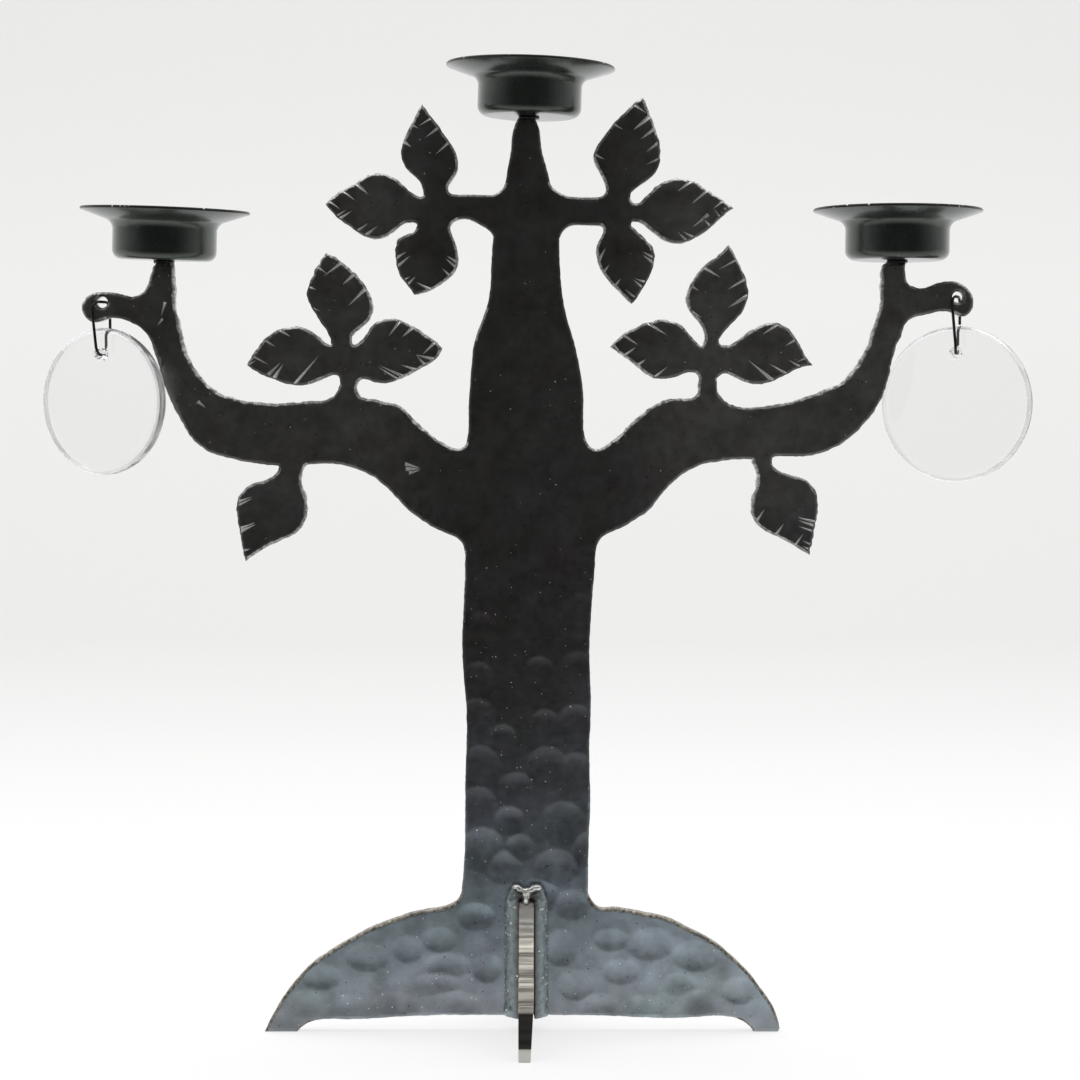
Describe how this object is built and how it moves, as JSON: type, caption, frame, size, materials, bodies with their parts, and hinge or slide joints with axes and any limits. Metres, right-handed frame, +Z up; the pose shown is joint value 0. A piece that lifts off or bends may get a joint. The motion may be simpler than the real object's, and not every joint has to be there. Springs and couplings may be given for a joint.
{
  "type": "tree candelabra",
  "caption": "Standing candelabra cut from steel plate in the shape of a leafy tree, with pressed cups on its posts, cross feet and glass discs that hang from wire links.",
  "frame": {"origin": "on the surface it stands on, half way between the two hanging eyes, in the tree plate's middle plane", "axes": "+X to the right seen from the front, +Y to the back, +Z up; the tree plate lies in the XZ plane"},
  "size_m": [0.3979, 0.101, 0.3894],
  "materials": {
    "blackened_plate": "hammered mild steel plate, blackened and waxed",
    "foot_steel": "flame-cut mild steel plate, blackened",
    "weld": "wire-brushed weld metal, waxed",
    "cup_steel": "pressed sheet steel with a semi-gloss dark finish",
    "wire": "black annealed wire",
    "clear_glass": "clear cast glass, fire polished"
  },
  "bodies": {
    "tree": {"tree_plate": "blackened_plate", "front_foot": "foot_steel", "rear_foot": "foot_steel", "front_weld_left": "weld", "front_weld_right": "weld", "front_weld_tack": "weld", "rear_weld_left": "weld", "rear_weld_right": "weld", "rear_weld_tack": "weld", "left_cup": "cup_steel", "centre_cup": "cup_steel", "right_cup": "cup_steel", "left_cup_weld": "weld", "centre_cup_weld": "weld", "right_cup_weld": "weld"},
    "left_link": {"left_ring": "wire"},
    "left_pendant": {"left_disc": "clear_glass"},
    "right_link": {"right_ring": "wire"},
    "right_pendant": {"right_disc": "clear_glass"}
  },
  "joints": [
    {"name": "left_ring_swing", "type": "hinge", "parent": "tree", "child": "left_link", "pos_m": [-0.1707, 0, 0.2943], "axis": [0, 1, 0], "range_deg": [-5, 75]},
    {"name": "left_disc_swing", "type": "hinge", "parent": "left_link", "child": "left_pendant", "pos_m": [-0.1707, 0, 0.2736], "axis": [0.454, 0.891, 0], "range_deg": [-15, 15]},
    {"name": "right_ring_swing", "type": "hinge", "parent": "tree", "child": "right_link", "pos_m": [0.1707, 0, 0.2964], "axis": [0, -1, 0], "range_deg": [-5, 75]},
    {"name": "right_disc_swing", "type": "hinge", "parent": "right_link", "child": "right_pendant", "pos_m": [0.1707, 0, 0.2743], "axis": [-0.454, -0.891, 0], "range_deg": [-25, 25]}
  ]
}
